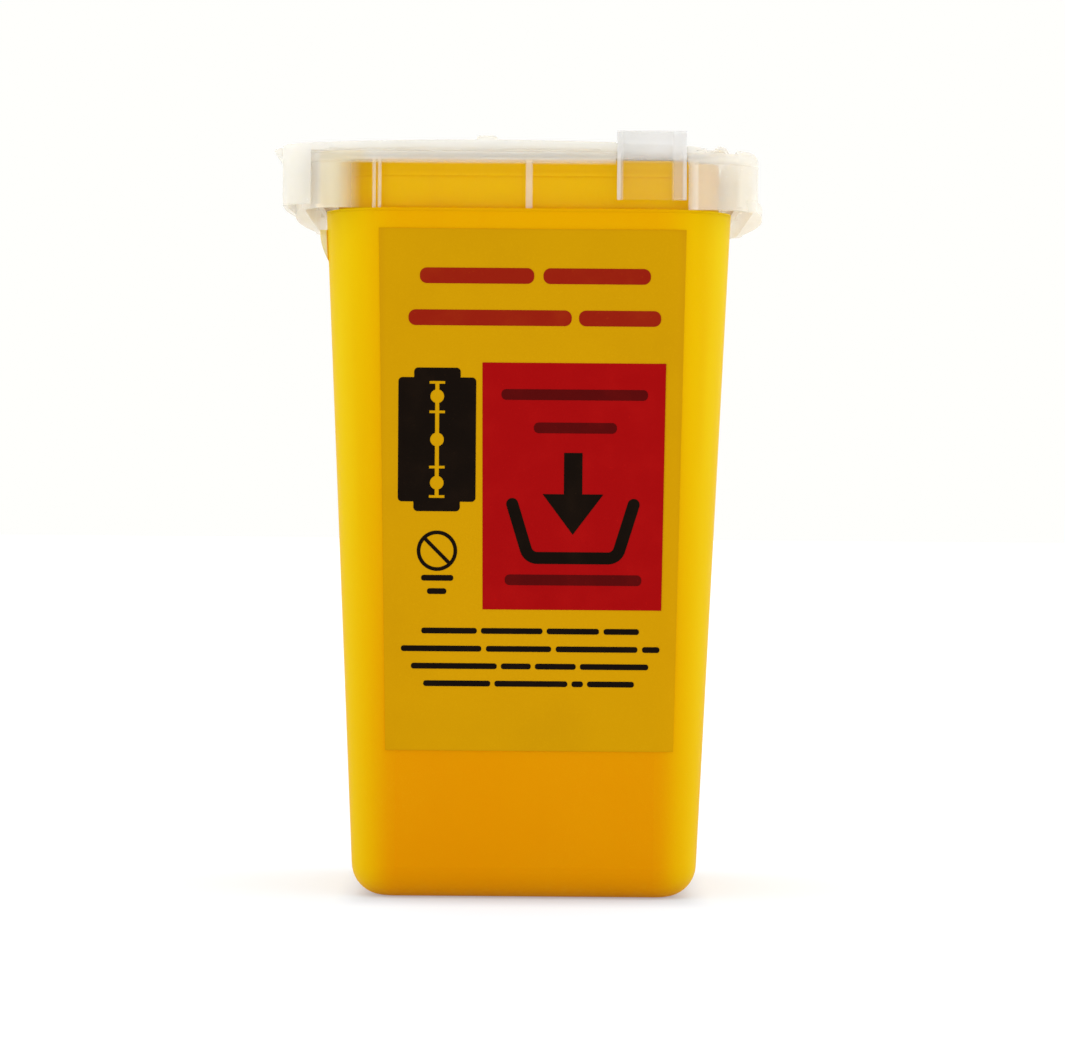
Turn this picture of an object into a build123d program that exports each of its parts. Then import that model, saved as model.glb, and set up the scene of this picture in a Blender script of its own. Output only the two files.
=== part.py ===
from build123d import *
import math
import os

# Sharps container: a tapered rounded-square box, a press-on lid with a flip
# cover, a flexing lock tongue, and a printed label on the flat front.
# Millimetres. Origin at the middle of the foot, +Z up, front towards -Y.

# ---- box -------------------------------------------------------------------
BASE_HALF = 37.7            # half width of the box at the floor
LEDGE_HALF = 44.6           # half width where the lid's skirt rests
LEDGE_Z = 150.4             # height of that ledge
SLOPE = math.atan2(LEDGE_HALF - BASE_HALF, LEDGE_Z)
BASE_CORNER = 9.5           # plan radius of the corners at the floor; it grows upwards
WALL = 1.8
FLOOR = 2.2
FOOT_FILLET = 7.2           # big rounding round the foot
INSIDE_FOOT_FILLET = 5.0
FOOT_HOLLOW = 0.7           # depth of the hollow under the floor
FOOT_HOLLOW_HALF = 26.0
FOOT_PAD_R = 12.0           # flat pad left in the middle of that hollow
NECK_HALF = 41.9            # narrower neck inside the lid's skirt
NECK_TOP = 161.2
NECK_WALL = 1.5
NECK_ROUND = 0.4
JOG = 3.0                   # height over which the inside narrows to the neck
NECK_BEAD = 0.35            # snap bead round the neck
NECK_BEAD_Z = 157.6
NECK_BEAD_H = 0.9
GUSSET_Z = (139.7, 146.5)   # small gusset under the left grip
GUSSET_REACH = 1.6
GUSSET_T = 1.4
GUSSET_Y = -29.0

# ---- lid -------------------------------------------------------------------
SKIRT_HALF_Y = 44.5         # front and back faces of the lid
GRIP_X = 50.3               # side faces of the lid, clear of the box
LID_CORNER = 11.0
SKIRT_WALL = 1.2
PLATE_LOW = 161.4
PLATE_TOP = 162.7
SHOULDER_TOP = 163.6        # raised strip beyond the cover's hinge
SHOULDER_X = 45.2
TOP_ROUND = 2.0
RIM_BEAD = 0.4              # thin bead along the skirt's lower edge
RIM_BEAD_H = 0.8
LIP_REACH = 52.4            # crest of the bowed finger lips at both sides
LIP_CREST_Y = -12.0
LIP_FRONT = (49.4, -41.0)
LIP_BACK = (49.8, 31.0)
LIP_ROOT_X = 46.5
LIP_H = 2.4
INNER_WALL_X = 45.3         # inner walls, in from the grips
INNER_WALL = 1.2
INNER_WALL_FOOT = 151.4
INNER_WALL_HALF_Y = 38.0
GUIDE_X = 42.6              # ribs on the inner walls that centre the neck
GUIDE_Y = (-26.0, 0.0, 26.0)
WEB_Y = (-30.0, -10.0, 10.0, 30.0)
WEB_W = 1.1
WEB_FOOT = 154.0
OPENING_X = (-33.0, 25.0)
OPENING_HALF_Y = 26.0
OPENING_CORNER = 14.0
COLLAR_WALL = 1.2           # collar hanging from the drop opening
COLLAR_FOOT = 158.2
BLADE_SLOT_X = (28.2, 33.2)
BLADE_SLOT_HALF_Y = 23.0
BLADE_SLOT_CORNER = 2.4
RIBS = ((-33.6, 0.7), (-32.4, 0.7), (0.05, 1.4), (35.7, 2.0))
RIB_DEPTH = 0.8             # ribs behind the front skirt: middle and width
RIB_FOOT = 151.0
JOIN = 0.1                  # overlap that joins two features of one moulding

# ---- flip cover ------------------------------------------------------------
HINGE_X = 41.8
HINGE_Z = 163.0
BARREL_R = 1.5
BARREL_HALF_Y = 34.0
PIN_R = 0.85
PIN_BORE_R = 0.90
PIN_REACH = 2.6
LUG_R = 1.8
LUG_T = 3.2
GAP = 0.3
COVER_X = (-53.9, 38.8)
COVER_HALF_Y = 43.2
COVER_CORNER = 7.0
COVER_LOW = 162.9           # lower edge of the cover's rims
COVER_END_TOP = 164.2       # top of the crown at its two ends
COVER_CROWN_TOP = 165.4     # and in the middle
CROWN_OVER = 3.0            # the crown's arc is drawn this far past both ends
COVER_SKIN = 1.2
RIM_WALL = 1.1
APRON_FOOT = 151.2
APRON_WRAP_X = -47.4        # the apron turns the corner as far as this
APRON_RISE = 2.7            # its lower edge rises this much towards the back
APRON_RISE_FROM_Y = -20.0
TIP_REACH = 2.0             # finger lip along the apron's top
TIP_H = 2.3
TIP_HALF_Y = 35.0
NUB_X = -9.2
NUB_Y = -41.0
NUB_SIZE = (4.6, 3.0)
NUB_TOP = 166.4
NUB_ROUND = 0.8
PLUG_GAP = 0.5
PLUG_WALL = 1.2
PLUG_FOOT = 161.1

# ---- lock tongue -----------------------------------------------------------
TONGUE_X = (19.1, 34.2)
TONGUE_GAP = 0.25
TONGUE_OUT = 44.7
TONGUE_IN = 43.5
TONGUE_PIVOT_Z = 153.0
TONGUE_TOP = 167.4
NIB_LOW = 165.75
NIB_IN = 41.7
NIB_BEVEL = 0.5
NOTCH_IN = 41.3             # the cover and the plate are cut back to here
TONGUE_RIBS = ((19.75, 1.3), (32.7, 3.0))
TONGUE_RIB_DEPTH = 0.35

# ---- label, on the sloping front; heights are measured up the slope ---------
FILM = 0.15
INK = 0.06
LABEL_TOP = 146.1
LABEL_FOOT = 32.5
LABEL_TOP_X = (-32.5, 34.3)
LABEL_FOOT_X = (-30.4, 32.4)
PANEL_TOP = 117.1
PANEL_FOOT = 63.4
PANEL_TOP_X = (-9.8, 30.1)
PANEL_FOOT_X = (-9.4, 29.5)
# a bar stands for each word: its row's height, then the ends of each bar
TITLE_ROWS = (
    (135.9, ((-23.5, 1.3), (3.3, 26.6))),
    (126.8, ((-25.9, 9.5), (11.1, 28.9))),
)
TITLE_BAR_H = 3.4
PANEL_ROWS = (
    (110.2, ((-5.6, 26.2),)),
    (103.0, ((1.5, 19.5),)),
    (69.9, ((-4.6, 25.1),)),
)
PANEL_BAR_H = 2.3
TEXT_ROWS = (
    (70.2, ((-22.8, -15.8),)),
    (67.3, ((-21.5, -17.3),)),
    (58.7, ((-22.7, -10.6), (-9.7, 3.7), (4.6, 16.0), (17.0, 24.7))),
    (54.8, ((-27.1, -9.6), (-8.6, 5.6), (6.6, 24.4), (25.4, 29.2))),
    (51.0, ((-24.9, -6.2), (-5.3, 1.2), (2.1, 11.0), (11.9, 26.8))),
    (47.2, ((-22.2, -7.6), (-6.7, 9.2), (10.1, 12.6), (13.5, 23.7))),
)
TEXT_BAR_H = 1.25
# bin pictogram on the panel: an arrow that drops into an open bin
BIN_X = 10.1
BIN_MOUTH = 86.4
BIN_FLOOR = 73.4
BIN_MOUTH_HALF = 13.2
BIN_FLOOR_HALF = 9.6
BIN_STROKE = 2.6
ARROW_TAIL = 97.6
ARROW_NECK = 88.6
ARROW_POINT = 79.8
ARROW_HALF = 6.6
ARROW_STEM_HALF = 2.0
# blade pictogram
BLADE_X = -19.55
BLADE_MID = 100.3
BLADE_W = 16.9
BLADE_H = 31.2
BLADE_TAB_W = 10.1
BLADE_SHOULDER_H = 27.0
BLADE_ROUND = 0.9
BLADE_SLIT_W = 0.9
BLADE_SLIT_H = 25.0
BLADE_HOLE_R = 1.5
BLADE_HOLES = (-9.4, 0.0, 9.4)
BLADE_BARS = (-12.4, -6.0, 6.0, 12.4)
BLADE_BAR_SIZE = (3.4, 0.6)
# ring and slash
RING_X = -19.4
RING_MID = 76.1
RING_R = 4.4
RING_STROKE = 0.8


def rounded(x_from, x_to, half_y, corner):
    """Rounded rectangle between two X values, in the active sketch."""
    with Locations(((x_from + x_to) / 2, 0)):
        RectangleRounded(x_to - x_from, 2 * half_y, corner)


def half_at(z):
    """Half width of the box at height z."""
    return BASE_HALF + (LEDGE_HALF - BASE_HALF) * z / LEDGE_Z


def corner_at(z):
    """Plan radius of the box's corners at height z."""
    return BASE_CORNER + half_at(z) - BASE_HALF


def tapered(low_z, high_z, grow):
    """The box between two heights, all its walls moved out by grow, in the active part."""
    half = half_at(low_z) + grow
    with BuildSketch(Plane.XY.offset(low_z)) as profile:
        rounded(-half, half, half, corner_at(low_z) + grow)
    extrude(profile.sketch, amount=high_z - low_z, taper=-math.degrees(SLOPE))


def face_plane(lift):
    """Plane of the sloping front, lifted off it along its outward normal."""
    normal = Vector(0, -math.cos(SLOPE), -math.sin(SLOPE))
    return Plane(
        origin=Vector(0, -BASE_HALF, 0) + normal * lift,
        x_dir=(1, 0, 0),
        z_dir=normal,
    )


# ---- container body --------------------------------------------------------
jog_z = LEDGE_Z - WALL - JOG
jog_half = half_at(jog_z) - WALL
jog_corner = corner_at(jog_z) - WALL
neck_inside = NECK_HALF - NECK_WALL
neck_inside_corner = jog_corner - (jog_half - neck_inside)
neck_corner = neck_inside_corner + NECK_WALL

with BuildPart() as box_outside:
    tapered(0, LEDGE_Z, 0)

# sloping inside, a jog, then the straight neck
with BuildPart() as cavity:
    tapered(FLOOR, jog_z, -WALL)
    fillet(cavity.edges().group_by(Axis.Z)[0], INSIDE_FOOT_FILLET)
    with BuildSketch(Plane.XY.offset(jog_z)):
        rounded(-jog_half, jog_half, jog_half, jog_corner)
    extrude(amount=JOG, taper=math.degrees(math.atan2(jog_half - neck_inside, JOG)))
    with BuildSketch(Plane.XY.offset(jog_z + JOG)):
        rounded(-neck_inside, neck_inside, neck_inside, neck_inside_corner)
    extrude(amount=NECK_TOP - jog_z)

with BuildPart() as container_body:
    add(box_outside.part)
    fillet(container_body.edges().group_by(Axis.Z)[0], FOOT_FILLET)
    with BuildSketch(Plane.XY.offset(LEDGE_Z)):
        rounded(-NECK_HALF, NECK_HALF, NECK_HALF, neck_corner)
    extrude(amount=NECK_TOP - LEDGE_Z)
    fillet(container_body.edges().group_by(Axis.Z)[-1], NECK_ROUND)
    bead_half = NECK_HALF + NECK_BEAD
    with BuildSketch(Plane.XY.offset(NECK_BEAD_Z)):
        rounded(-bead_half, bead_half, bead_half, neck_corner + NECK_BEAD)
    extrude(amount=NECK_BEAD_H)
    # small gusset under the left grip, its lower edge curving into the wall
    with BuildSketch(Plane.XZ.offset(-GUSSET_Y)):
        foot_x = -half_at(GUSSET_Z[0])
        root_x = foot_x + WALL / 2
        top_x = -half_at(GUSSET_Z[1]) - GUSSET_REACH
        middle = (foot_x - GUSSET_REACH * 0.9, (GUSSET_Z[0] + GUSSET_Z[1]) / 2)
        with BuildLine():
            ThreePointArc((top_x, GUSSET_Z[1]), middle, (foot_x, GUSSET_Z[0]))
            Polyline(
                (foot_x, GUSSET_Z[0]),
                (root_x, GUSSET_Z[0]),
                (root_x, GUSSET_Z[1]),
                (top_x, GUSSET_Z[1]),
            )
        make_face()
    extrude(amount=GUSSET_T / 2, both=True)
    add(cavity.part, mode=Mode.SUBTRACT)
    # shallow hollow under the foot, so the box stands on a ring and a pad
    with BuildSketch(Plane.XY):
        rounded(-FOOT_HOLLOW_HALF, FOOT_HOLLOW_HALF, FOOT_HOLLOW_HALF, BASE_CORNER)
        Circle(FOOT_PAD_R, mode=Mode.SUBTRACT)
    extrude(amount=FOOT_HOLLOW, mode=Mode.SUBTRACT)
container_body.part.label = "container_body"

# ---- lid -------------------------------------------------------------------
with BuildPart() as lid:
    with BuildSketch(Plane.XY.offset(LEDGE_Z)):
        rounded(-GRIP_X, GRIP_X, SKIRT_HALF_Y, LID_CORNER)
    extrude(amount=SHOULDER_TOP - LEDGE_Z)
    fillet(lid.edges().group_by(Axis.Z)[-1], TOP_ROUND)
    # thin bead along the front and back of the lower edge
    with BuildSketch(Plane.XY.offset(LEDGE_Z)):
        rounded(-GRIP_X, GRIP_X, SKIRT_HALF_Y + RIM_BEAD, LID_CORNER)
    extrude(amount=RIM_BEAD_H)
    # bowed finger lips under the two grips
    for side in (-1, 1):
        with BuildSketch(Plane.XY.offset(LEDGE_Z)):
            front = (side * LIP_FRONT[0], LIP_FRONT[1])
            back = (side * LIP_BACK[0], LIP_BACK[1])
            with BuildLine():
                ThreePointArc(front, (side * LIP_REACH, LIP_CREST_Y), back)
                Polyline(
                    back,
                    (side * LIP_ROOT_X, LIP_BACK[1]),
                    (side * LIP_ROOT_X, LIP_FRONT[1]),
                    front,
                )
            make_face()
        extrude(amount=LIP_H)
    # recess that the cover lies in, up to the shoulder
    with BuildSketch(Plane.XY.offset(PLATE_TOP)):
        with Locations((SHOULDER_X - GRIP_X, 0)):
            Rectangle(2 * GRIP_X, 2 * SKIRT_HALF_Y)
    extrude(amount=SHOULDER_TOP - PLATE_TOP, mode=Mode.SUBTRACT)
    # hollow inside
    with BuildSketch(Plane.XY.offset(LEDGE_Z)):
        hollow_x = GRIP_X - SKIRT_WALL
        rounded(-hollow_x, hollow_x, SKIRT_HALF_Y - SKIRT_WALL, LID_CORNER - SKIRT_WALL)
    extrude(amount=PLATE_LOW - LEDGE_Z, mode=Mode.SUBTRACT)
    # inner walls beside the neck
    with BuildSketch(Plane.XY.offset(INNER_WALL_FOOT)):
        for side in (-1, 1):
            with Locations((side * (INNER_WALL_X + INNER_WALL / 2), 0)):
                Rectangle(INNER_WALL, 2 * INNER_WALL_HALF_Y)
    extrude(amount=PLATE_LOW - INNER_WALL_FOOT + JOIN)
    # webs that tie them to the grips, and the guides that centre the neck
    with BuildSketch(Plane.XY.offset(WEB_FOOT)):
        for side in (-1, 1):
            for web_y in WEB_Y:
                with Locations((side * (INNER_WALL_X + GRIP_X) / 2, web_y)):
                    Rectangle(GRIP_X - INNER_WALL_X - 2 * JOIN, WEB_W)
            for guide_y in GUIDE_Y:
                with Locations((side * (GUIDE_X + INNER_WALL_X + JOIN) / 2, guide_y)):
                    Rectangle(INNER_WALL_X + JOIN - GUIDE_X, WEB_W)
    extrude(amount=PLATE_LOW - WEB_FOOT + JOIN)
    # vertical ribs behind the front skirt
    with BuildSketch(Plane.XY.offset(RIB_FOOT)):
        for rib_x, rib_w in RIBS:
            with Locations((rib_x, -SKIRT_HALF_Y + SKIRT_WALL + (RIB_DEPTH - JOIN) / 2)):
                Rectangle(rib_w, RIB_DEPTH + JOIN)
    extrude(amount=PLATE_LOW - RIB_FOOT + JOIN)
    # collar and drop opening
    with BuildSketch(Plane.XY.offset(COLLAR_FOOT)):
        rounded(
            OPENING_X[0] - COLLAR_WALL,
            OPENING_X[1] + COLLAR_WALL,
            OPENING_HALF_Y + COLLAR_WALL,
            OPENING_CORNER + COLLAR_WALL,
        )
    extrude(amount=PLATE_LOW - COLLAR_FOOT + JOIN)
    with BuildSketch(Plane.XY.offset(COLLAR_FOOT)):
        rounded(*OPENING_X, OPENING_HALF_Y, OPENING_CORNER)
    extrude(amount=PLATE_TOP - COLLAR_FOOT, mode=Mode.SUBTRACT)
    # slot that blades drop through
    with BuildSketch(Plane.XY.offset(PLATE_LOW)):
        rounded(*BLADE_SLOT_X, BLADE_SLOT_HALF_Y, BLADE_SLOT_CORNER)
    extrude(amount=PLATE_TOP - PLATE_LOW, mode=Mode.SUBTRACT)
    # hinge lugs, their bores, and the window that the barrel turns in
    for side in (-1, 1):
        with BuildSketch(Plane.XZ.offset(-side * (BARREL_HALF_Y + GAP + LUG_T / 2))):
            with Locations((HINGE_X, HINGE_Z)):
                Circle(LUG_R)
            with Locations((HINGE_X, (PLATE_LOW + HINGE_Z) / 2)):
                Rectangle(2 * LUG_R, HINGE_Z - PLATE_LOW)
        extrude(amount=LUG_T / 2, both=True)
    with BuildSketch(Plane.XZ):
        with Locations((HINGE_X, HINGE_Z)):
            Circle(PIN_BORE_R)
    extrude(amount=BARREL_HALF_Y + GAP + PIN_REACH, both=True, mode=Mode.SUBTRACT)
    with BuildSketch(Plane.XY.offset(PLATE_LOW)):
        with Locations((HINGE_X, 0)):
            Rectangle(2 * (BARREL_R + GAP), 2 * (BARREL_HALF_Y + GAP))
    extrude(amount=SHOULDER_TOP - PLATE_LOW, mode=Mode.SUBTRACT)
    # window for the lock tongue, through the skirt and the plate's front edge
    window_foot = TONGUE_PIVOT_Z - (TONGUE_OUT - TONGUE_IN) / 2 - TONGUE_GAP
    with BuildSketch(Plane.XZ.offset(NOTCH_IN)):
        with Locations((sum(TONGUE_X) / 2, (window_foot + SHOULDER_TOP) / 2)):
            Rectangle(
                TONGUE_X[1] - TONGUE_X[0] + 2 * TONGUE_GAP,
                SHOULDER_TOP - window_foot,
            )
    extrude(amount=SKIRT_HALF_Y - NOTCH_IN + RIM_BEAD, mode=Mode.SUBTRACT)
lid.part.label = "lid"

# ---- flip cover ------------------------------------------------------------
crown_middle = sum(COVER_X) / 2
plug_x = (OPENING_X[0] + PLUG_GAP, OPENING_X[1] - PLUG_GAP)
plug_half_y = OPENING_HALF_Y - PLUG_GAP
plug_corner = OPENING_CORNER - PLUG_GAP


def under_crown(drop):
    """Sketch of the profile under the crown's arc, lowered by drop, past both ends."""
    half = crown_middle - COVER_X[0]
    sag = COVER_CROWN_TOP - COVER_END_TOP
    end_z = COVER_CROWN_TOP - drop - sag * (1 + CROWN_OVER / half) ** 2
    left = COVER_X[0] - CROWN_OVER
    right = COVER_X[1] + CROWN_OVER
    with BuildSketch(Plane.XZ) as profile:
        with BuildLine():
            ThreePointArc(
                (left, end_z),
                (crown_middle, COVER_CROWN_TOP - drop),
                (right, end_z),
            )
            Polyline((right, end_z), (right, PLUG_FOOT), (left, PLUG_FOOT), (left, end_z))
        make_face()
    return profile.sketch


with BuildSketch(Plane.XY.offset(PLUG_FOOT)) as plug_ring:
    rounded(*plug_x, plug_half_y, plug_corner)
    with Locations((sum(plug_x) / 2, 0)):
        RectangleRounded(
            plug_x[1] - plug_x[0] - 2 * PLUG_WALL,
            2 * (plug_half_y - PLUG_WALL),
            plug_corner - PLUG_WALL,
            mode=Mode.SUBTRACT,
        )

# the hollow under the crown, inside the rims and round the plug ring
with BuildPart() as cover_hollow:
    extrude(under_crown(COVER_SKIN), amount=COVER_HALF_Y, both=True)
    with BuildSketch(Plane.XY.offset(PLUG_FOOT)):
        rounded(
            COVER_X[0] + RIM_WALL,
            COVER_X[1] - RIM_WALL,
            COVER_HALF_Y - RIM_WALL,
            COVER_CORNER - RIM_WALL,
        )
        add(plug_ring.sketch, mode=Mode.SUBTRACT)
        with Locations((sum(TONGUE_X) / 2, -COVER_HALF_Y)):
            Rectangle(
                TONGUE_X[1] - TONGUE_X[0] + 2 * (TONGUE_GAP + RIM_WALL),
                2 * (COVER_HALF_Y - NOTCH_IN + RIM_WALL),
                mode=Mode.SUBTRACT,
            )
    extrude(amount=COVER_CROWN_TOP - PLUG_FOOT, mode=Mode.INTERSECT)

with BuildPart() as nub:
    nub_root = COVER_CROWN_TOP - COVER_SKIN / 2
    with BuildSketch(Plane.XY.offset(nub_root)):
        with Locations((NUB_X, NUB_Y)):
            RectangleRounded(*NUB_SIZE, NUB_ROUND)
    extrude(amount=NUB_TOP - nub_root)
    fillet(nub.edges().group_by(Axis.Z)[-1], NUB_ROUND - JOIN)

with BuildPart() as flip_cover:
    extrude(under_crown(0), amount=COVER_HALF_Y, both=True)
    # plan: rims above the plate, the plug ring below it
    with BuildSketch(Plane.XY.offset(COVER_LOW)):
        rounded(*COVER_X, COVER_HALF_Y, COVER_CORNER)
    extrude(amount=COVER_CROWN_TOP - COVER_LOW, mode=Mode.INTERSECT)
    add(cover_hollow.part, mode=Mode.SUBTRACT)
    extrude(plug_ring.sketch, amount=COVER_LOW - PLUG_FOOT + JOIN)
    # apron down the left grip, as far round its corners as the lid allows
    with BuildSketch(Plane.XY.offset(APRON_FOOT)):
        rounded(*COVER_X, COVER_HALF_Y, COVER_CORNER)
        with Locations((crown_middle, 0)):
            RectangleRounded(
                COVER_X[1] - COVER_X[0] - 2 * RIM_WALL,
                2 * (COVER_HALF_Y - RIM_WALL),
                COVER_CORNER - RIM_WALL,
                mode=Mode.SUBTRACT,
            )
        with Locations((APRON_WRAP_X + GRIP_X, 0)):
            Rectangle(2 * GRIP_X, 2 * COVER_HALF_Y, mode=Mode.SUBTRACT)
    extrude(amount=COVER_LOW - APRON_FOOT + JOIN)
    with BuildSketch(Plane.YZ.offset(COVER_X[0] - TIP_REACH)):
        with BuildLine():
            Polyline(
                (APRON_RISE_FROM_Y, APRON_FOOT),
                (COVER_HALF_Y + JOIN, APRON_FOOT + APRON_RISE),
                (COVER_HALF_Y + JOIN, APRON_FOOT - JOIN),
                (APRON_RISE_FROM_Y, APRON_FOOT - JOIN),
                close=True,
            )
        make_face()
    extrude(amount=APRON_WRAP_X - COVER_X[0] + TIP_REACH, mode=Mode.SUBTRACT)
    # finger lip, a bevelled ledge along the apron's top
    with BuildSketch(Plane.XZ):
        tip_top = COVER_END_TOP
        tip_x = COVER_X[0] - TIP_REACH
        with BuildLine():
            Polyline(
                (COVER_X[0] + RIM_WALL / 2, tip_top),
                (COVER_X[0], tip_top),
                (tip_x + 0.4, tip_top - 0.5),
                (tip_x, tip_top - TIP_H / 2),
                (tip_x + 0.4, tip_top - TIP_H * 0.75),
                (COVER_X[0], tip_top - TIP_H),
                (COVER_X[0] + RIM_WALL / 2, tip_top - TIP_H),
                close=True,
            )
        make_face()
    extrude(amount=TIP_HALF_Y, both=True)
    # hinge arm, barrel and stub pins
    with BuildSketch(Plane.XY.offset(COVER_LOW)):
        with Locations(((COVER_X[1] - RIM_WALL + HINGE_X) / 2, 0)):
            Rectangle(HINGE_X - COVER_X[1] + RIM_WALL, 2 * BARREL_HALF_Y)
    extrude(amount=COVER_END_TOP - COVER_LOW)
    with BuildSketch(Plane.XZ):
        with Locations((HINGE_X, HINGE_Z)):
            Circle(BARREL_R)
    extrude(amount=BARREL_HALF_Y, both=True)
    with BuildSketch(Plane.XZ):
        with Locations((HINGE_X, HINGE_Z)):
            Circle(PIN_R)
    extrude(amount=BARREL_HALF_Y + PIN_REACH, both=True)
    # notch that the lock tongue stands in
    with BuildSketch(Plane.XY.offset(PLUG_FOOT)):
        with Locations((sum(TONGUE_X) / 2, -COVER_HALF_Y)):
            Rectangle(
                TONGUE_X[1] - TONGUE_X[0] + 2 * TONGUE_GAP,
                2 * (COVER_HALF_Y - NOTCH_IN),
            )
    extrude(amount=COVER_CROWN_TOP - PLUG_FOOT, mode=Mode.SUBTRACT)
    # nub near the front edge
    add(nub.part)
flip_cover.part.label = "flip_cover"

# ---- lock tongue -----------------------------------------------------------
with BuildPart() as lock_tongue:
    shank_x = sum(TONGUE_X) / 2
    shank_w = TONGUE_X[1] - TONGUE_X[0]
    foot_r = (TONGUE_OUT - TONGUE_IN) / 2
    with BuildSketch(Plane.YZ.offset(TONGUE_X[0])):
        with BuildLine():
            Polyline(
                (-TONGUE_IN, TONGUE_PIVOT_Z),
                (-TONGUE_IN, NIB_LOW - NIB_BEVEL),
                (-NIB_IN, NIB_LOW),
                (-NIB_IN, TONGUE_TOP - 2 * NIB_BEVEL),
                (-NIB_IN - NIB_BEVEL, TONGUE_TOP),
                (-TONGUE_OUT, TONGUE_TOP),
                (-TONGUE_OUT, TONGUE_PIVOT_Z),
            )
            ThreePointArc(
                (-TONGUE_OUT, TONGUE_PIVOT_Z),
                (-TONGUE_OUT + foot_r, TONGUE_PIVOT_Z - foot_r),
                (-TONGUE_IN, TONGUE_PIVOT_Z),
            )
        make_face()
    extrude(amount=shank_w)
    with BuildSketch(Plane.XY.offset(TONGUE_PIVOT_Z)):
        for rib_x, rib_w in TONGUE_RIBS:
            with Locations((rib_x, -TONGUE_IN + (TONGUE_RIB_DEPTH - JOIN) / 2)):
                Rectangle(rib_w, TONGUE_RIB_DEPTH + JOIN)
    extrude(amount=PLATE_LOW - TONGUE_PIVOT_Z)
lock_tongue.part.label = "lock_tongue"

# ---- label film and its inks -----------------------------------------------


def quad(top, foot, top_x, foot_x):
    """Four-sided outline on the sloping front, in the active sketch."""
    Polygon(
        (foot_x[0], foot),
        (foot_x[1], foot),
        (top_x[1], top),
        (top_x[0], top),
        align=None,
    )


def bars(rows, bar_h):
    """Rounded bar for each word of each row, in the active sketch."""
    for middle_v, spans in rows:
        for left, right in spans:
            with Locations(((left + right) / 2, middle_v)):
                RectangleRounded(right - left, bar_h, bar_h * 0.45)


# the film follows the box, corners included
with BuildPart() as label_film:
    tapered(0, LEDGE_Z, FILM)
    add(box_outside.part, mode=Mode.SUBTRACT)
    with BuildSketch(face_plane(-WALL)):
        quad(LABEL_TOP, LABEL_FOOT, LABEL_TOP_X, LABEL_FOOT_X)
    extrude(amount=2 * WALL, mode=Mode.INTERSECT)
label_film.part.label = "label_film"

with BuildPart() as title_print:
    with BuildSketch(face_plane(FILM)):
        bars(TITLE_ROWS, TITLE_BAR_H)
    extrude(amount=INK)
title_print.part.label = "title_print"

with BuildPart() as text_print:
    with BuildSketch(face_plane(FILM)):
        bars(TEXT_ROWS, TEXT_BAR_H)
    extrude(amount=INK)
text_print.part.label = "text_print"

with BuildPart() as panel_print:
    with BuildSketch(face_plane(FILM)):
        quad(PANEL_TOP, PANEL_FOOT, PANEL_TOP_X, PANEL_FOOT_X)
    extrude(amount=INK)
panel_print.part.label = "panel_print"

with BuildPart() as panel_bars_print:
    with BuildSketch(face_plane(FILM + INK)):
        bars(PANEL_ROWS, PANEL_BAR_H)
    extrude(amount=INK)
panel_bars_print.part.label = "panel_bars_print"

with BuildPart() as bin_mark_print:
    with BuildSketch(face_plane(FILM + INK)):
        with BuildLine():
            FilletPolyline(
                (BIN_X - BIN_MOUTH_HALF, BIN_MOUTH),
                (BIN_X - BIN_FLOOR_HALF, BIN_FLOOR + BIN_STROKE / 2),
                (BIN_X + BIN_FLOOR_HALF, BIN_FLOOR + BIN_STROKE / 2),
                (BIN_X + BIN_MOUTH_HALF, BIN_MOUTH),
                radius=BIN_STROKE,
            )
            offset(amount=BIN_STROKE / 2)
        make_face()
        Polygon(
            (BIN_X - ARROW_STEM_HALF, ARROW_TAIL),
            (BIN_X - ARROW_STEM_HALF, ARROW_NECK),
            (BIN_X - ARROW_HALF, ARROW_NECK),
            (BIN_X, ARROW_POINT),
            (BIN_X + ARROW_HALF, ARROW_NECK),
            (BIN_X + ARROW_STEM_HALF, ARROW_NECK),
            (BIN_X + ARROW_STEM_HALF, ARROW_TAIL),
            align=None,
        )
    extrude(amount=INK)
bin_mark_print.part.label = "bin_mark_print"

with BuildPart() as blade_mark_print:
    with BuildSketch(face_plane(FILM)):
        with Locations((BLADE_X, BLADE_MID)):
            RectangleRounded(BLADE_W, BLADE_SHOULDER_H, BLADE_ROUND)
            RectangleRounded(BLADE_TAB_W, BLADE_H, BLADE_ROUND)
            Rectangle(BLADE_SLIT_W, BLADE_SLIT_H, mode=Mode.SUBTRACT)
        for hole_v in BLADE_HOLES:
            with Locations((BLADE_X, BLADE_MID + hole_v)):
                Circle(BLADE_HOLE_R, mode=Mode.SUBTRACT)
        for bar_v in BLADE_BARS:
            with Locations((BLADE_X, BLADE_MID + bar_v)):
                Rectangle(*BLADE_BAR_SIZE, mode=Mode.SUBTRACT)
    extrude(amount=INK)
blade_mark_print.part.label = "blade_mark_print"

with BuildPart() as ring_mark_print:
    with BuildSketch(face_plane(FILM)):
        with Locations((RING_X, RING_MID)):
            Circle(RING_R)
            Circle(RING_R - RING_STROKE, mode=Mode.SUBTRACT)
            Rectangle(2 * RING_R - RING_STROKE, RING_STROKE, rotation=-45)
    extrude(amount=INK)
ring_mark_print.part.label = "ring_mark_print"

# ---- files -----------------------------------------------------------------
os.makedirs("parts", exist_ok=True)
for builder in (
    container_body,
    lid,
    flip_cover,
    lock_tongue,
    label_film,
    title_print,
    text_print,
    panel_print,
    panel_bars_print,
    bin_mark_print,
    blade_mark_print,
    ring_mark_print,
):
    export_step(builder.part, f"parts/{builder.part.label}.step")
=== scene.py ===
"""A square yellow sharps container with a milky snap-on lid: its finishes and its fine moulded detail."""
import math

import bmesh
import bpy
from mathutils import Euler, Matrix, Vector


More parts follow.
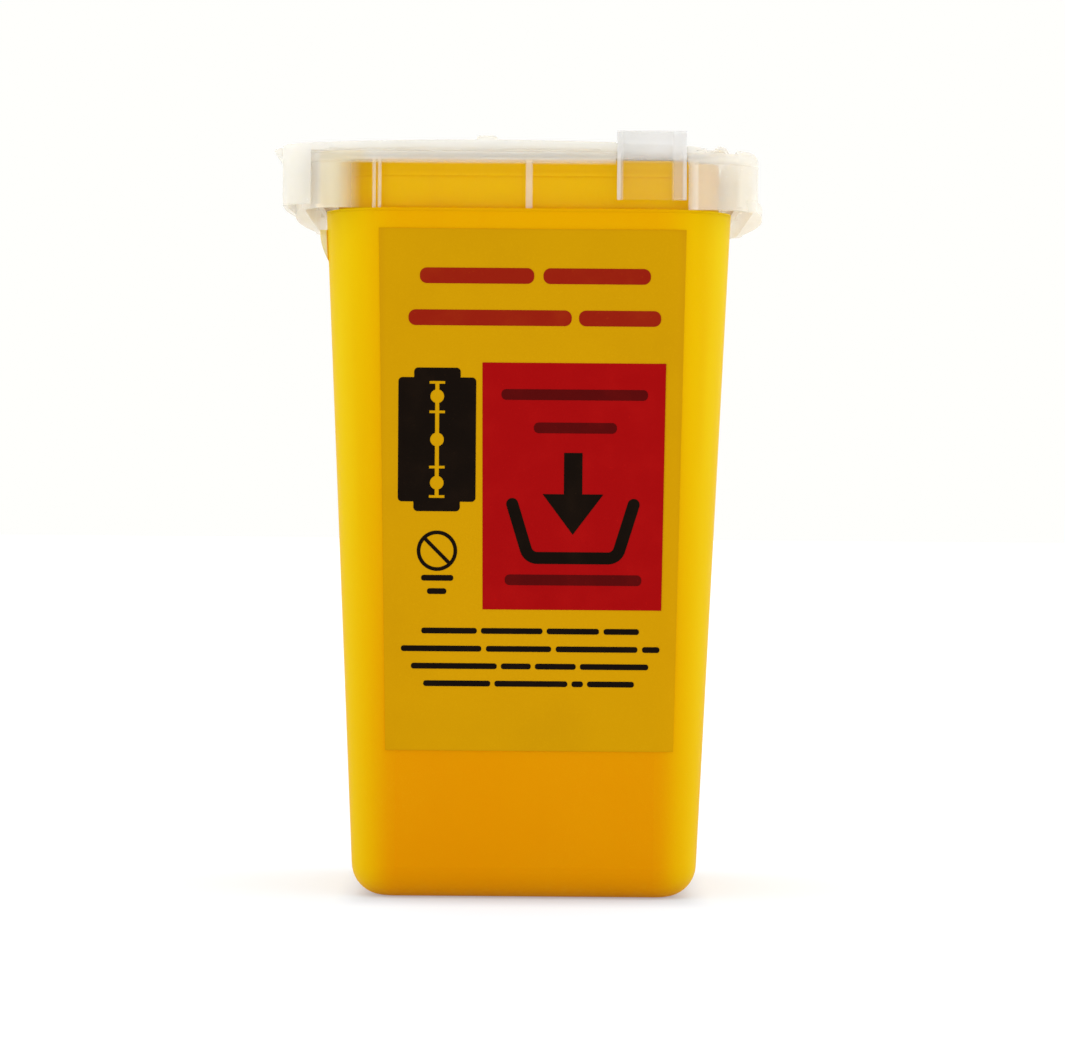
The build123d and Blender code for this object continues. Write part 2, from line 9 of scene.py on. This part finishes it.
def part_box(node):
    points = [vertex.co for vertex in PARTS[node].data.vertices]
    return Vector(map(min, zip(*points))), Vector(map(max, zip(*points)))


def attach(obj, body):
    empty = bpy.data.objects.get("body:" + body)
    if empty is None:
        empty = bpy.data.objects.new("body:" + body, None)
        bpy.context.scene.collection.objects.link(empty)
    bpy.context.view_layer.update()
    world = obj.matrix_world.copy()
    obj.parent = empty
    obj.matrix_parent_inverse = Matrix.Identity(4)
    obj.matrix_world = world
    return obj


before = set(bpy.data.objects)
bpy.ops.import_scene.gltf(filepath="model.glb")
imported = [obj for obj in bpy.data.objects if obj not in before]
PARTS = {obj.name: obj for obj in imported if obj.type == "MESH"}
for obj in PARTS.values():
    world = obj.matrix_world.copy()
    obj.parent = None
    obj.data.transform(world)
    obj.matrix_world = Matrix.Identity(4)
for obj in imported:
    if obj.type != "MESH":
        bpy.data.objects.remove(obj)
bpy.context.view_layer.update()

MM = 0.001

# ---- dimensions of the object, in metres ---------------------------------------------------------------

BASE_HALF = 37.7 * MM              # half width of the box at the floor
LEDGE_HALF = 44.6 * MM             # half width at the ledge that the lid's skirt rests on
LEDGE_Z = 150.4 * MM
TAPER = (LEDGE_HALF - BASE_HALF) / LEDGE_Z
CORNER_CENTRE = 28.2 * MM          # the box's corner arcs all turn about points this far out
FLOOR_TOP = 2.2 * MM
FOOT_HOLLOW = 0.7 * MM
GRIP_X = 50.3 * MM
SKIRT_HALF_Y = 44.5 * MM
LID_CORNER = 11.0 * MM
PLATE_TOP = 162.7 * MM
COVER_HALF_Y = 43.2 * MM
COVER_CORNER = 7.0 * MM
COVER_APRON_X = -46.6 * MM         # the cover's apron begins beyond this
CROWN_UNDERSIDE = 164.2 * MM
CROWN_MIDDLE_X = -7.55 * MM
LID_RIBS = ((-33.6, 0.7), (-32.4, 0.7), (0.05, 1.4), (35.7, 2.0))     # middle and width, mm
TONGUE_RIBS = ((19.75, 1.3), (32.7, 3.0))

# Where one look passes into another: from, to. Those to the left are distances towards -X.
NECK_START_Z = (LEDGE_Z, LEDGE_Z + 1.0 * MM)
THIN_RIB_REACH = (0.05 * MM, 0.35 * MM)
FOOT_WEAR_Z = (0.2 * MM, 5.0 * MM)
SKIRT_PANEL_Y = (42.0 * MM, 43.0 * MM)
SKIRT_PANEL_TOP = (159.8 * MM, 161.4 * MM)
RIGHT_OF_PANEL = (34.6 * MM, 36.6 * MM)
LEFT_OF_PANEL = (36.0 * MM, 43.5 * MM)              # to the left
COVER_TIP = (44.0 * MM, 52.0 * MM)                  # to the left
TONGUE_TOP_Z = (160.0 * MM, 163.6 * MM)
BOX_SHADE_X = (33.0 * MM, 42.5 * MM)
BOX_SHADE_Y = (36.0 * MM, 60.0 * MM)
FLOOR_GLOW_REACH = (0.25, 1.2)

# ---- dimensions read from the frame, in metres ---------------------------------------------------------

body_low, body_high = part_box("container_body")
cover_low, cover_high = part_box("flip_cover")
tongue_low, tongue_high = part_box("lock_tongue")
label_low, label_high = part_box("label_film")
OBJECT_HEIGHT = tongue_high.z


# ---- finishes ------------------------------------------------------------------------------------------

class Value:
    """One socket in a finish. Arithmetic on it adds the Math nodes."""

    def __init__(self, finish, socket):
        self.finish = finish
        self.socket = socket

    def maths(self, operation, *terms):
        sockets = dict(enumerate(terms))
        return self.finish.node("ShaderNodeMath", {"operation": operation}, sockets)["Value"]

    def __add__(self, other):
        return self.maths("ADD", self, other)

    def __radd__(self, other):
        return self.maths("ADD", other, self)

    def __sub__(self, other):
        return self.maths("SUBTRACT", self, other)

    def __rsub__(self, other):
        return self.maths("SUBTRACT", other, self)

    def __mul__(self, other):
        return self.maths("MULTIPLY", self, other)

    def __rmul__(self, other):
        return self.maths("MULTIPLY", other, self)

    def __truediv__(self, other):
        return self.maths("DIVIDE", self, other)

    def __abs__(self):
        return self.maths("ABSOLUTE", self)

    def rise(self, start, end):
        """0 up to start, 1 from end on, and a smooth step between."""
        settings = {"interpolation_type": "SMOOTHSTEP"}
        sockets = {"Value": self, "From Min": start, "From Max": end}
        return self.finish.node("ShaderNodeMapRange", settings, sockets)["Result"]


class Made:
    """A node that has been added; its outputs are picked by name."""

    def __init__(self, finish, node):
        self.finish = finish
        self.node = node

    def __getitem__(self, name):
        return Value(self.finish, pick(self.node.outputs, name))


def pick(sockets, name):
    if isinstance(name, int):
        return sockets[name]
    by_id = [s for s in sockets if s.identifier == name]
    by_name = [s for s in sockets if s.name == name]
    return (by_id or by_name)[0]


class Finish:
    """A material made of procedural nodes, ending in one Principled shader."""

    def __init__(self, name):
        self.material = bpy.data.materials.new(name)
        self.material.use_nodes = True
        self.tree = self.material.node_tree
        self.tree.nodes.clear()
        self.place = self.node("ShaderNodeTexCoord")["Object"]

    def node(self, kind, settings=None, sockets=None):
        made = self.tree.nodes.new(kind)
        for key, value in (settings or {}).items():
            setattr(made, key, value)
        for key, value in (sockets or {}).items():
            target = pick(made.inputs, key)
            if isinstance(value, Value):
                self.tree.links.new(value.socket, target)
            else:
                target.default_value = value
        return Made(self, made)

    def axes(self):
        split = self.node("ShaderNodeSeparateXYZ", None, {"Vector": self.place})
        return split["X"], split["Y"], split["Z"]

    def facing(self):
        normal = self.node("ShaderNodeTexCoord")["Normal"]
        split = self.node("ShaderNodeSeparateXYZ", None, {"Vector": normal})
        return split["X"], split["Y"], split["Z"]

    def stretched(self, x, y, z):
        settings = {"operation": "MULTIPLY"}
        return self.node("ShaderNodeVectorMath", settings, {0: self.place, 1: (x, y, z)})["Vector"]

    def noise(self, grain, detail=2.0, place=None, roughness=0.5):
        """Cloudy noise whose lumps are about grain millimetres across, from 0 to 1."""
        sockets = {"Vector": place or self.place, "Scale": 1.0 / (grain * MM),
                   "Detail": detail, "Roughness": roughness}
        return self.node("ShaderNodeTexNoise", None, sockets)["Fac"]

    def mix(self, first, second, factor):
        sockets = {"Factor_Float": factor, "A_Color": first, "B_Color": second}
        return self.node("ShaderNodeMix", {"data_type": "RGBA"}, sockets)["Result_Color"]

    def bump(self, height, depth, normal=None):
        """A bump whose height, from 0 to 1, stands for depth millimetres."""
        sockets = {"Strength": 1.0, "Distance": depth * MM, "Height": height}
        if normal:
            sockets["Normal"] = normal
        return self.node("ShaderNodeBump", None, sockets)["Normal"]

    def principled(self, **sockets):
        named = {key.replace("_", " "): value for key, value in sockets.items()}
        return self.node("ShaderNodeBsdfPrincipled", None, named)["BSDF"]

    def done(self, shader):
        self.node("ShaderNodeOutputMaterial", None, {"Surface": shader})
        return self.material


def paint(red, green, blue):
    """A colour given as it looks on a screen, 0 to 255, as the shader's linear colour."""
    def linear(v):
        v = v / 255.0
        return v / 12.92 if v <= 0.04045 else ((v + 0.055) / 1.055) ** 2.4
    return (linear(red), linear(green), linear(blue), 1.0)


def scratches(finish, seed, length=14.0, width=0.35, share=0.71):
    """Sparse fine scuffs that run in a few directions, 0 or near 1; length and width are in millimetres."""
    marks = []
    for turn in (0.5, 1.9, 2.7):
        rotation = {"Vector": finish.place, "Rotation": (turn, turn * 0.6, seed + turn)}
        spun = finish.node("ShaderNodeVectorRotate", {"rotation_type": "EULER_XYZ"}, rotation)["Vector"]
        drawing = {0: spun, 1: (1.0 / length, 1.0 / width, 1.0 / width)}
        drawn_out = finish.node("ShaderNodeVectorMath", {"operation": "MULTIPLY"}, drawing)["Vector"]
        grain = {"Vector": drawn_out, "Scale": 1.0 / MM, "Detail": 0.0}
        streak = finish.node("ShaderNodeTexNoise", None, grain)["Fac"]
        marks.append(streak.rise(share, share + 0.05))
    patch = finish.noise(26.0, 1.0).rise(0.48, 0.62)
    return sum(marks) * patch


def yellow_moulding():
    """Yellow polypropylene with painted light: a painted highlight round the corners and the sides, painted
    shade deepening the flat front towards the bottom, a painted lighter neck under the lid and a painted
    pale glow on the thin rib.
    """
    f = Finish("yellow_moulding")
    x, y, z = f.axes()
    nx, ny, nz = f.facing()
    # Painted highlight: the corners and the sides are painted brighter and yellower than the flat front,
    # standing in for light off and through the plastic there.
    corner = (abs(nx) * abs(ny) * 2.0).rise(0.05, 0.95)
    painted_side_light = abs(nx) * (0.55 + corner * 0.45)
    height = z.rise(0.0, body_high.z)
    cloud = f.noise(38.0, 3.0)
    flow = f.noise(9.0, 2.0, f.stretched(1.0, 1.0, 0.08))
    # Painted shade: the front and the edges are painted darker and more orange towards the bottom and
    # lighter towards the top.
    front = f.mix(paint(222, 141, 0), paint(226, 163, 0), height)
    painted_edge_highlight = f.mix(paint(226, 190, 2), paint(228, 200, 2), height)
    tone = f.mix(front, painted_edge_highlight, painted_side_light)
    tone = f.mix(tone, paint(230, 172, 4), (cloud - 0.5) * 0.30 + 0.08)
    # Painted light: the neck is painted lighter, making up for the shade that the lid casts over it.
    neck = z.rise(*NECK_START_Z)
    tone = f.mix(tone, paint(236, 184, 0), neck * 0.9)
    # Painted light: the thin rib beyond the wall is painted pale, as if lit through; the same mask also
    # makes it half see-through.
    thin_rib = (abs(x) - (BASE_HALF + z * TAPER)).rise(*THIN_RIB_REACH)
    tone = f.mix(tone, paint(246, 226, 120), thin_rib)
    tone = f.mix(tone, paint(214, 132, 0), flow.rise(0.5, 0.8) * 0.14)
    scuff = scratches(f, 1.3)
    worn_foot = 1.0 - z.rise(*FOOT_WEAR_Z)
    wear = scuff * 0.05 + worn_foot * f.noise(1.6, 3.0).rise(0.45, 0.7) * 0.08
    tone = f.mix(tone, paint(240, 190, 60), wear)
    rough = 0.36 + f.noise(4.0, 3.0) * 0.10 + scuff * 0.12 + worn_foot * 0.15
    peel = f.bump(f.noise(1.5, 2.0), 0.006)
    grain = f.bump(f.noise(0.22, 1.0), 0.002, peel)
    sink = f.bump(f.noise(22.0, 1.0), 0.05, grain)
    return f.done(f.principled(Base_Color=tone, Roughness=rough, Normal=sink, IOR=1.20,
                               Specular_IOR_Level=0.12, Specular_Tint=(1.0, 0.80, 0.30, 1.0),
                               Alpha=1.0 - thin_rib * 0.5, Subsurface_Weight=0.10, Subsurface_Scale=0.004,
                               Subsurface_Radius=(1.0, 0.55, 0.12)))


def natural_moulding(name, milk_share, seed, dense, pale, painted_glow=None):
    """Natural polypropylene, clear where the wall is thin and smooth and cloudy where milk_share says so.

    If given, the last argument returns a painted glow colour, standing in for light from what lies behind
    the milk, and how strongly it is painted.
    """
    f = Finish(name)
    share = milk_share(f)
    cloud = f.noise(17.0, 3.0, f.stretched(1.0, 1.0, 0.5))
    flow = f.noise(5.0, 2.0, f.stretched(0.25, 1.0, 1.0))
    milk = f.mix(dense, pale, (cloud * 0.9 + flow * 0.2).rise(0.35, 0.80))
    scuff = scratches(f, seed, 9.0, 0.25)
    milk = f.mix(milk, paint(252, 250, 246), scuff * 0.25)
    if painted_glow:
        # Painted glow over the milk, standing in for light from what lies behind the wall.
        shade, strength = painted_glow(f)
        milk = f.mix(milk, shade, strength)
    peel = f.bump(f.noise(1.2, 2.0), 0.005)
    grain = f.bump(f.noise(0.25, 1.0), 0.002, peel)
    thin_colour = f.mix(milk, paint(254, 254, 252), 0.85)
    thin_rough = 0.06 + cloud * 0.06 + scuff * 0.1
    milk_rough = 0.38 + cloud * 0.1 + scuff * 0.1
    clear = f.principled(Base_Color=thin_colour, Roughness=thin_rough, Normal=peel, IOR=1.25,
                         Transmission_Weight=1.0, Alpha=0.12)
    cloudy = f.principled(Base_Color=milk, Roughness=milk_rough, Normal=grain, IOR=1.30,
                          Specular_IOR_Level=0.20, Transmission_Weight=0.05, Subsurface_Weight=0.55,
                          Subsurface_Scale=0.0035, Subsurface_Radius=(1.0, 0.92, 0.80), Alpha=0.72)
    amount = share * (0.96 + flow * 0.08)
    return f.done(f.node("ShaderNodeMixShader", None, {0: amount, 1: clear, 2: cloudy})["Shader"])


def band(value, middle, width):
    """1 on a narrow band of a coordinate, soft at its two sides."""
    return 1.0 - abs(value - middle).rise(width * 0.35, width * 0.65)


def lid_milk(f):
    """The smooth panels over the box's neck are nearly clear; the corners, top and grips are milky."""
    x, y, z = f.axes()
    panel = abs(y).rise(*SKIRT_PANEL_Y) * (1.0 - z.rise(*SKIRT_PANEL_TOP))
    right = x.rise(*RIGHT_OF_PANEL) * 0.75
    left = (x * -1.0).rise(*LEFT_OF_PANEL)
    ribs = sum(band(x, middle * MM, width * MM) for middle, width in LID_RIBS) * 0.30
    in_panel = 0.004 + right * 0.55 + left * 0.85 + ribs
    return 0.58 - panel * (0.58 - in_panel)


def painted_neck_glow(f):
    """Painted light: a warm glow is painted on the milky wall just left of the clear panel, standing in for
    the yellow neck's light through it.
    """
    x, y, z = f.axes()
    beside_panel = band(x, -41.0 * MM, 11.0 * MM) * abs(y).rise(*SKIRT_PANEL_Y)
    return paint(255, 232, 184), beside_panel * 0.65


def cover_milk(f):
    """Even milk, a little denser at the apron's tip."""
    x, y, z = f.axes()
    return 0.55 + (x * -1.0).rise(*COVER_TIP) * 0.1


def tongue_milk(f):
    """Nearly clear between its edges and ribs, and milky above the lid."""
    x, y, z = f.axes()
    sides = band(x, tongue_low.x, 1.6 * MM) + band(x, tongue_high.x, 1.6 * MM)
    ribs = sum(band(x, middle * MM, width * MM) for middle, width in TONGUE_RIBS) * 0.25
    return 0.03 + sides * 0.4 + ribs + z.rise(*TONGUE_TOP_Z) * 0.72


def label_stock():
    """Matt ochre film with a papery tooth, faint clouds, a few lifted bubbles and a darker rim."""
    f = Finish("label_stock")
    x, y, z = f.axes()
    height = z.rise(label_low.z, label_high.z)
    film = f.mix(paint(206, 150, 2), paint(203, 150, 2), height)
    tooth = f.noise(0.35, 2.0)
    cloud = f.noise(24.0, 3.0)
    film = f.mix(film, paint(190, 136, 4), cloud.rise(0.45, 0.8) * 0.35)
    film = f.mix(film, paint(220, 168, 14), tooth.rise(0.5, 0.9) * 0.35)
    middle = (label_low + label_high) / 2.0
    rim_x = (abs(x - middle.x) / (label_high.x - middle.x)).rise(0.93, 0.99)
    rim_z = (abs(z - middle.z) / (label_high.z - middle.z)).rise(0.985, 1.0)
    film = f.mix(film, paint(196, 140, 6), (rim_x + rim_z).rise(0.0, 1.4) * 0.5)
    bubble = f.noise(6.0, 1.0).rise(0.62, 0.75)
    rough = 0.40 + cloud * 0.10 + tooth * 0.06 - bubble * 0.05
    lift = f.bump(bubble, 0.02)
    grain = f.bump(tooth, 0.006, lift)
    return f.done(f.principled(Base_Color=film, Roughness=rough, Normal=grain, IOR=1.45,
                               Specular_IOR_Level=0.06, Specular_Tint=(1.0, 0.80, 0.30, 1.0)))


def ink(name, solid, thin, gloss):
    """Screen ink: a fine grain, a few pinholes and uneven cover."""
    f = Finish(name)
    cover = f.noise(7.0, 3.0)
    grain = f.noise(0.18, 2.0)
    pinhole = f.noise(0.5, 1.0).rise(0.72, 0.78)
    tone = f.mix(solid, thin, cover.rise(0.4, 0.9) * 0.45 + grain.rise(0.5, 0.9) * 0.35)
    tone = f.mix(tone, thin, pinhole * 0.7)
    rough = gloss + grain * 0.12 + pinhole * 0.1
    return f.done(f.principled(Base_Color=tone, Roughness=rough, Normal=f.bump(grain, 0.006), IOR=1.45,
                               Specular_IOR_Level=0.05))


finishes = {
    "yellow_shell": yellow_moulding(),
    "natural_lid": natural_moulding("natural_lid_moulding", lid_milk, 2.1,
                                    paint(253, 244, 229), paint(254, 250, 241), painted_neck_glow),
    "natural_cover": natural_moulding("natural_cover_moulding", cover_milk, 3.4,
                                      paint(253, 245, 230), paint(255, 250, 240)),
    "natural_tongue": natural_moulding("natural_tongue_moulding", tongue_milk, 4.6,
                                       paint(226, 224, 221), paint(234, 232, 230)),
    "label_film": label_stock(),
    "dark_red_ink": ink("dark_red_ink", paint(146, 26, 6), paint(160, 48, 8), 0.40),
    "maroon_ink": ink("maroon_ink", paint(84, 2, 2), paint(110, 6, 5), 0.38),
    "red_ink": ink("red_ink", paint(160, 2, 4), paint(176, 12, 10), 0.36),
    "black_ink": ink("black_ink", paint(15, 6, 1), paint(34, 20, 8), 0.34),
}
part_slots = {
    "container_body": "yellow_shell", "lid": "natural_lid", "flip_cover": "natural_cover",
    "lock_tongue": "natural_tongue", "label_film": "label_film", "title_print": "dark_red_ink",
    "panel_print": "red_ink", "text_print": "black_ink", "panel_bars_print": "maroon_ink",
    "bin_mark_print": "black_ink", "blade_mark_print": "black_ink", "ring_mark_print": "black_ink",
}
for part, finish_name in part_slots.items():
    for material_slot in PARTS[part].material_slots:
        material_slot.material = finishes[finish_name]


# ---- fine moulded detail -------------------------------------------------------------------------------

WELD = 1e-7


def piece(name, mesh_maker, body, finish_name):
    """One smooth mesh piece that rides on a body and wears one of the part's finishes."""
    mesh = bpy.data.meshes.new(name)
    maker = bmesh.new()
    mesh_maker(maker)
    bmesh.ops.remove_doubles(maker, verts=maker.verts, dist=WELD)
    bmesh.ops.recalc_face_normals(maker, faces=maker.faces)
    maker.to_mesh(mesh)
    maker.free()
    for face in mesh.polygons:
        face.use_smooth = True
    made = bpy.data.objects.new(name, mesh)
    bpy.context.scene.collection.objects.link(made)
    mesh.materials.append(finishes[finish_name])
    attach(made, body)


def rounded_loop(low_x, high_x, half_y, corner, z, arc_steps=14, side_steps=24):
    """Points round a rounded rectangle, each with its outward direction."""
    loop = []
    centres = ((high_x - corner, -half_y + corner, -90), (high_x - corner, half_y - corner, 0),
               (low_x + corner, half_y - corner, 90), (low_x + corner, -half_y + corner, 180))
    for cx, cy, start in centres:
        for step in range(arc_steps + 1):
            angle = math.radians(start + 90.0 * step / arc_steps)
            out = Vector((math.cos(angle), math.sin(angle), 0.0))
            loop.append((Vector((cx, cy, z)) + out * corner, out))
    filled = []
    for index, (point, out) in enumerate(loop):
        after, out_after = loop[(index + 1) % len(loop)]
        filled.append((point, out))
        if (out - out_after).length < 1e-6:
            for step in range(1, side_steps):
                filled.append((point.lerp(after, step / side_steps), out))
    return filled


def split_runs(loop, keep):
    """The stretches of a closed loop whose points are kept, where at least one point isn't."""
    flags = [keep(point) for point, out in loop]
    start = flags.index(False)
    runs, run = [], []
    for index in range(start, start + len(loop) + 1):
        if flags[index % len(loop)]:
            run.append(loop[index % len(loop)])
        elif run:
            runs.append(run)
            run = []
    return [run for run in runs if len(run) > 1]


def bead(maker, run, width, proud, sunk=0.03 * MM):
    """A fine rounded bead that follows a run of points on a wall."""
    up = Vector((0.0, 0.0, 1.0))
    section = [(-0.5, -sunk), (-0.42, proud * 0.55), (-0.2, proud * 0.92), (0.0, proud),
               (0.2, proud * 0.92), (0.42, proud * 0.55), (0.5, -sunk)]
    rings = []
    for point, out in run:
        corners = [point + out * rise + up * (across * width) for across, rise in section]
        rings.append([maker.verts.new(corner) for corner in corners])
    closed = (run[0][0] - run[-1][0]).length < WELD
    for ring, after in zip(rings, rings[1:]):
        for k in range(len(section)):
            n = (k + 1) % len(section)
            maker.faces.new((ring[k], ring[n], after[n], after[k]))
    if not closed:
        maker.faces.new(rings[0])
        maker.faces.new(reversed(rings[-1]))


def turned(maker, centre, axis_up, profile, steps=40):
    """A small closed turned form that stands up or down from centre: profile is (radius, height)."""
    rings = []
    for radius, rise in profile:
        ring = []
        for step in range(steps):
            angle = 2.0 * math.pi * step / steps
            point = Vector((radius * math.cos(angle), radius * math.sin(angle), axis_up * rise))
            ring.append(maker.verts.new(centre + point))
        rings.append(ring)
    for ring, after in zip(rings, rings[1:]):
        for k in range(steps):
            n = (k + 1) % steps
            maker.faces.new((ring[k], ring[n], after[n], after[k]))
    maker.faces.new(rings[0])
    maker.faces.new(reversed(rings[-1]))


NOTCH_X = (tongue_low.x - 0.6 * MM, tongue_high.x + 0.6 * MM)
RIM_LINE_Z = LEDGE_Z - 0.55 * MM
SKIRT_LINE_Z = 160.35 * MM
COVER_LINE_Z = 163.35 * MM
COVER_TIP_REACH = 2.0 * MM         # the cover's finger lip stands this far out from its end
LINE_PROUD = 0.06 * MM


def beside_tongue(point):
    return not (point.y < 0 and NOTCH_X[0] < point.x < NOTCH_X[1])


def on_cover_edge(point):
    return point.x > COVER_APRON_X and beside_tongue(point)


def rim_line(maker):
    half = BASE_HALF + TAPER * RIM_LINE_Z
    loop = rounded_loop(-half, half, half, half - CORNER_CENTRE, RIM_LINE_Z)
    bead(maker, loop + loop[:1], 0.35 * MM, LINE_PROUD)


def skirt_line(maker):
    loop = rounded_loop(-GRIP_X, GRIP_X, SKIRT_HALF_Y, LID_CORNER, SKIRT_LINE_Z)
    for run in split_runs(loop, beside_tongue):
        bead(maker, run, 0.30 * MM, LINE_PROUD)


def cover_line(maker):
    end_x = cover_low.x + COVER_TIP_REACH
    loop = rounded_loop(end_x, cover_high.x, COVER_HALF_Y, COVER_CORNER, COVER_LINE_Z)
    for run in split_runs(loop, on_cover_edge):
        bead(maker, run, 0.26 * MM, 0.05 * MM)


def round_marks(places, z, up, radius, proud):
    """Low round marks of ejector pins and gates on a flat; up is 1 on a top face and -1 on an underside.

    places are in millimetres.
    """
    profile = ((radius, -0.04 * MM), (radius, proud * 0.7), (radius * 0.94, proud), (radius * 0.80, proud),
               (radius * 0.76, proud * 0.45), (radius * 0.20, proud * 0.45))

    def shape(maker):
        for x, y in places:
            turned(maker, Vector((x * MM, y * MM, z)), up, profile)
    return shape


INSIDE_PINS = ((-21.0, -21.0), (21.0, -21.0), (21.0, 21.0), (-21.0, 21.0))
FOOT_PINS = ((-19.0, 0.0), (19.0, 0.0), (0.0, -19.0), (0.0, 19.0))
PLATE_PINS = ((-43.0, -27.0), (-43.0, 27.0), (30.7, -31.0), (30.7, 31.0))
inside_marks = round_marks(INSIDE_PINS, FLOOR_TOP, 1.0, 3.2 * MM, 0.10 * MM)
foot_marks = round_marks(FOOT_PINS, FOOT_HOLLOW, -1.0, 2.4 * MM, 0.10 * MM)
plate_marks = round_marks(PLATE_PINS, PLATE_TOP, 1.0, 1.8 * MM, 0.12 * MM)
crown_mark = round_marks([(CROWN_MIDDLE_X / MM, 0.0)], CROWN_UNDERSIDE, -1.0, 2.2 * MM, 0.14 * MM)

piece("container_parting_line", rim_line, "container", "yellow_shell")
piece("container_floor_marks", inside_marks, "container", "yellow_shell")
piece("container_foot_marks", foot_marks, "container", "yellow_shell")
piece("lid_plate_marks", plate_marks, "lid", "natural_lid")
piece("cover_gate_mark", crown_mark, "cover", "natural_cover")
piece("lid_parting_line", skirt_line, "lid", "natural_lid")
piece("cover_parting_line", cover_line, "cover", "natural_cover")


# ---- room, light and camera ----------------------------------------------------------------------------

FLOOR_RADIUS = 30.0
LENS = 132.5                       # millimetres, and the sensor too
SENSOR_WIDTH = 36.0
CAMERA_PLACE = (0.00135, -0.894, 0.0809)
CAMERA_LEAN = 0.45                 # degrees of roll


def floor_finish():
    """A glowing white floor that brightens with distance, with a painted shadow in its glow close round the
    box.
    """
    f = Finish("white_floor")
    speck = f.noise(60.0, 2.0)
    tone = f.mix(paint(183, 186, 190), paint(187, 190, 194), speck)
    distance = f.node("ShaderNodeVectorMath", {"operation": "LENGTH"}, {0: f.place})["Value"]
    x, y, z = f.axes()
    # Painted shadow: the floor's glow is darkened close round the box's foot.
    painted_shadow_round_box = (1.0 - abs(x).rise(*BOX_SHADE_X)) * (1.0 - abs(y).rise(*BOX_SHADE_Y))
    near = f.mix(paint(220, 223, 227), paint(172, 178, 187), painted_shadow_round_box)
    glow = f.mix(near, paint(255, 255, 253), distance.rise(*FLOOR_GLOW_REACH))
    return f.done(f.principled(Base_Color=tone, Roughness=0.8 + speck * 0.1, Specular_IOR_Level=0.1,
                               Emission_Color=glow, Emission_Strength=0.66))


def build_floor():
    mesh = bpy.data.meshes.new("floor")
    maker = bmesh.new()
    bmesh.ops.create_circle(maker, cap_ends=True, radius=FLOOR_RADIUS, segments=96)
    maker.to_mesh(mesh)
    maker.free()
    floor = bpy.data.objects.new("floor", mesh)
    floor.location = (0.0, 0.0, body_low.z - 0.05 * MM)
    bpy.context.scene.collection.objects.link(floor)
    mesh.materials.append(floor_finish())


def soft_box(name, place, size, power):
    light = bpy.data.lights.new(name, "AREA")
    light.shape = "RECTANGLE"
    light.size, light.size_y = size
    light.energy = power
    lamp = bpy.data.objects.new(name, light)
    lamp.location = place
    aim = Vector((0.0, 0.0, OBJECT_HEIGHT * 0.5)) - Vector(place)
    lamp.rotation_euler = aim.to_track_quat("-Z", "Y").to_euler()
    bpy.context.scene.collection.objects.link(lamp)


def build_light():
    world = bpy.data.worlds.new("studio")
    bpy.context.scene.world = world
    world.use_nodes = True
    background = world.node_tree.nodes["Background"]
    background.inputs["Color"].default_value = (1.0, 1.0, 0.975, 1.0)
    background.inputs["Strength"].default_value = 1.0
    soft_box("left_bank", (-0.9, 0.05, 0.35), (0.5, 0.9), 1.2)
    soft_box("right_bank", (0.9, 0.10, 0.35), (0.5, 0.9), 1.8)
    soft_box("top_bank", (0.0, 0.0, 1.1), (0.9, 0.9), 2.2)


def build_camera():
    data = bpy.data.cameras.new("camera")
    data.lens = LENS
    data.sensor_fit = "HORIZONTAL"
    data.sensor_width = SENSOR_WIDTH
    data.clip_start = 0.01
    camera = bpy.data.objects.new("camera", data)
    level = Euler((math.pi / 2.0, 0.0, 0.0)).to_matrix()
    lean = Matrix.Rotation(math.radians(CAMERA_LEAN), 3, "Z")
    camera.matrix_world = (level @ lean).to_4x4()
    camera.location = CAMERA_PLACE
    bpy.context.scene.collection.objects.link(camera)
    bpy.context.scene.camera = camera


build_floor()
build_light()
build_camera()
bpy.context.scene.view_settings.view_transform = "Standard"
